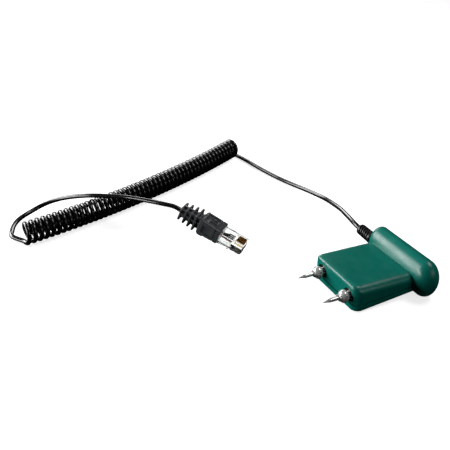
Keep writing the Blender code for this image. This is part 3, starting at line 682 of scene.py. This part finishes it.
# Each is (low corner, high corner, bevel): two webs between the fins, the latch guard, a side bar,
# a pad in the window and a rib across the top.
BOOT_BOXES = (
    ((-28.4, -0.8, 2.0), (-14.6, 0.8, 4.9), 0.3),
    ((-28.4, -4.9, -0.6), (-14.6, 4.9, 0.8), 0.3),
    ((-14.4, -4.6, -6.6), (-10.3, 4.6, -3.4), 0.5),
    ((-8.8, 6.0, -2.9), (-8.0, 6.95, 3.1), 0.2),
    ((-7.9, 1.2, 4.0), (-6.2, 3.2, 5.5), 0.3),
    ((-13.6, -6.3, 5.2), (-13.1, 6.3, 5.8), 0.2),
)
extras = [fin_bm(*fin) for fin in FINS] + [box_bm(*box) for box in BOOT_BOXES]
fins = mesh_object("fins", joined(*extras), BOOT, TO_PLUG)
whole_bm = bmesh.new()
whole_bm.from_mesh(boot.data)
whole_bm.from_mesh(fins.data)
whole_bm.to_mesh(boot.data)
whole_bm.free()
boot.data.shade_smooth()
boot.data.set_sharp_from_angle(angle=SHARP_ANGLE)
bpy.data.objects.remove(fins)
stand_for(boot, "probe", "boot_grey", "plug_boot")


# ---------------------------------------------------------------- cord


def catmull(knots, per_span):
    """Points on a smooth curve through the knots."""
    knots = [Vector(knot) for knot in knots]
    ends = [knots[0] * 2 - knots[1], *knots, knots[-1] * 2 - knots[-2]]
    fine = []
    for a, b, c, d in zip(ends, ends[1:], ends[2:], ends[3:]):
        for i in range(per_span):
            t = i / per_span
            fine.append(
                b
                + (c - a) * (0.5 * t)
                + (a * 2 - b * 5 + c * 4 - d) * (0.5 * t * t)
                + (b * 3 - a - c * 3 + d) * (0.5 * t * t * t)
            )
    fine.append(knots[-1])
    return fine


def coil_axis(t):
    along = Vector((math.cos(COIL_HEADING), math.sin(COIL_HEADING), 0.0))
    across = Vector((-along.y, along.x, 0.0))
    middle = Vector((*COIL_MIDDLE, COIL_RADIUS + 0.1))
    return middle + along * (t * COIL_LENGTH / 2) - across * (COIL_BOW * t * t)


LATE_TURNS = 9.0
LATE_STRETCH = 0.021
EARLY_TURNS = 1.5
EARLY_STRETCH = 0.02


def helix():
    """The coil's centreline from the head's end. It starts and ends at the bottom of a turn.

    The first and last few turns are drawn out a little towards their ends.
    """
    points = []
    reach = 1.0 - 2 * CORD_RADIUS / COIL_LENGTH
    count = COIL_TURNS * TURN_POINTS
    for i in range(count + 1):
        t = reach * (2 * i / count - 1)
        late = max(0.0, (i - count) / TURN_POINTS + LATE_TURNS) / LATE_TURNS
        early = max(0.0, EARLY_TURNS - i / TURN_POINTS) / EARLY_TURNS
        t += LATE_STRETCH * late - EARLY_STRETCH * early * early
        centre = coil_axis(t)
        along = (coil_axis(t + 0.01) - coil_axis(t - 0.01)).normalized()
        across = Vector((-along.y, along.x, 0.0))
        angle = -math.pi / 2 - math.tau * i / TURN_POINTS
        radius = COIL_RADIUS - CORD_RADIUS
        upwards = Vector((0.0, 0.0, radius * math.sin(angle)))
        points.append(centre + across * (radius * math.cos(angle)) + upwards)
    return points


coil = helix()
side_step = Vector((0.94, 0.342, 0.0)) * 6.0
relief_way = (RELIEF_TIP - RELIEF_START).normalized()
head_knots = [RELIEF_TIP - relief_way * 2.0, RELIEF_TIP + relief_way * 4.0, *HEAD_LEAD_ROUTE]
head_knots += [coil[0] + side_step, coil[0]]
tail = PLUG_PLACE + PLUG_TURN.to_matrix() @ Vector((TAIL_END + 0.6, 0.0, 0.0))
before = PLUG_PLACE + PLUG_TURN.to_matrix() @ Vector((TAIL_END - 6.0, 0.0, 0.0))
plug_knots = [coil[-1], coil[-1] - side_step * 0.45, *PLUG_LEAD_ROUTE, before, tail]
line = catmull(head_knots, 8)[:-1] + coil + catmull(plug_knots, 8)[1:]

curve = bpy.data.curves.new("coiled cord", "CURVE")
curve.dimensions = "3D"
curve.bevel_depth = CORD_RADIUS * MM
curve.bevel_resolution = 4
curve.use_fill_caps = True
spline = curve.splines.new("POLY")
spline.points.add(len(line) - 1)
for target, point in zip(spline.points, line):
    target.co = (*(point * MM), 1.0)
spline.use_smooth = True
curve.materials.append(CORD)
cord = bpy.data.objects.new("probe_cord", curve)
SCENE.collection.objects.link(cord)
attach(cord, "probe")
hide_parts("head_lead", "coiled_cord", "plug_lead")


# ---------------------------------------------------------------- camera, floor and light

camera_data = bpy.data.cameras.new("camera")
camera_data.lens = 52.5
camera_data.sensor_width = 36.0
camera_data.clip_start = 0.01
camera = bpy.data.objects.new("camera", camera_data)
right = Vector((0.4346, 0.9006, 0.0))
back = Vector((0.778, -0.3754, 0.5038))
up = Vector((-0.4537, 0.2190, 0.8638))
camera.matrix_world = Matrix(
    (
        (right.x, up.x, back.x, 0.2449),
        (right.y, up.y, back.y, -0.2038),
        (right.z, up.z, back.z, 0.2209),
        (0.0, 0.0, 0.0, 1.0),
    )
)
SCENE.collection.objects.link(camera)
SCENE.camera = camera

floor_mesh = bpy.data.meshes.new("floor")
FLOOR_REACH = 3.0
FLOOR_HEIGHT = -0.0002
corner_signs = ((-1, -1), (1, -1), (1, 1), (-1, 1))
floor_corners = [(x * FLOOR_REACH, y * FLOOR_REACH, FLOOR_HEIGHT) for x, y in corner_signs]
floor_mesh.from_pydata(floor_corners, [], [(0, 1, 2, 3)])
floor = bpy.data.objects.new("floor", floor_mesh)
paper = blank("paper", 0.9)
tint(paper, (0.95, 0.95, 0.95), (0.97, 0.97, 0.97), 6.0)
shader_of(paper).inputs["Emission Color"].default_value = (1.0, 1.0, 1.0, 1.0)
shader_of(paper).inputs["Emission Strength"].default_value = 0.75
floor_mesh.materials.append(paper)
floor.visible_glossy = False
floor.visible_diffuse = False
SCENE.collection.objects.link(floor)

SCENE.view_settings.view_transform = "Standard"
SCENE.view_settings.look = "None"

world = bpy.data.worlds.new("studio")
world.use_nodes = True
tree = world.node_tree
direction = tree.nodes.new("ShaderNodeTexCoord")
split = tree.nodes.new("ShaderNodeSeparateXYZ")
fade = tree.nodes.new("ShaderNodeMapRange")
fade.inputs["From Min"].default_value = 0.62
fade.inputs["From Max"].default_value = 0.9
fade.inputs["To Min"].default_value = 0.055
fade.inputs["To Max"].default_value = WORLD_TOP
tree.links.new(direction.outputs["Generated"], split.inputs["Vector"])
tree.links.new(split.outputs["Z"], fade.inputs["Value"])
tree.links.new(fade.outputs["Result"], tree.nodes["Background"].inputs["Strength"])
SCENE.world = world


def area_light(name, place, target, power, width, height):
    data = bpy.data.lights.new(name, "AREA")
    data.shape = "RECTANGLE"
    data.size = width
    data.size_y = height
    data.energy = power
    light = bpy.data.objects.new(name, data)
    light.location = place
    light.rotation_euler = (Vector(target) - Vector(place)).to_track_quat("-Z", "Y").to_euler()
    light.visible_camera = False
    SCENE.collection.objects.link(light)


area_light("left_box", (-0.66, -0.52, 0.26), (0.0, 0.0, 0.0), 5.4, 0.5, 0.38)
area_light("front_box", (-0.32, -0.80, 0.08), (0.0, 0.0, 0.0), 3.4, 0.5, 0.2)
area_light("top_box", (0.05, 0.38, 0.95), (0.0, 0.0, 0.0), 3.2, 0.5, 0.4)
area_light("right_box", (0.7, 0.25, 0.35), (0.0, 0.0, 0.0), 0.6, 0.5, 0.3)
area_light("cord_box", (-0.42, 0.06, 0.17), (-0.155, -0.07, 0.01), 0.4, 0.26, 0.07)

plug_pieces = ["plug_body", "plug_latch", "plug_cord_end"]
plug_pieces += [f"plug_contact_{number}" for number in range(1, 9)]
plug_pieces += [f"plug_wire_{number}" for number in range(1, 5)]
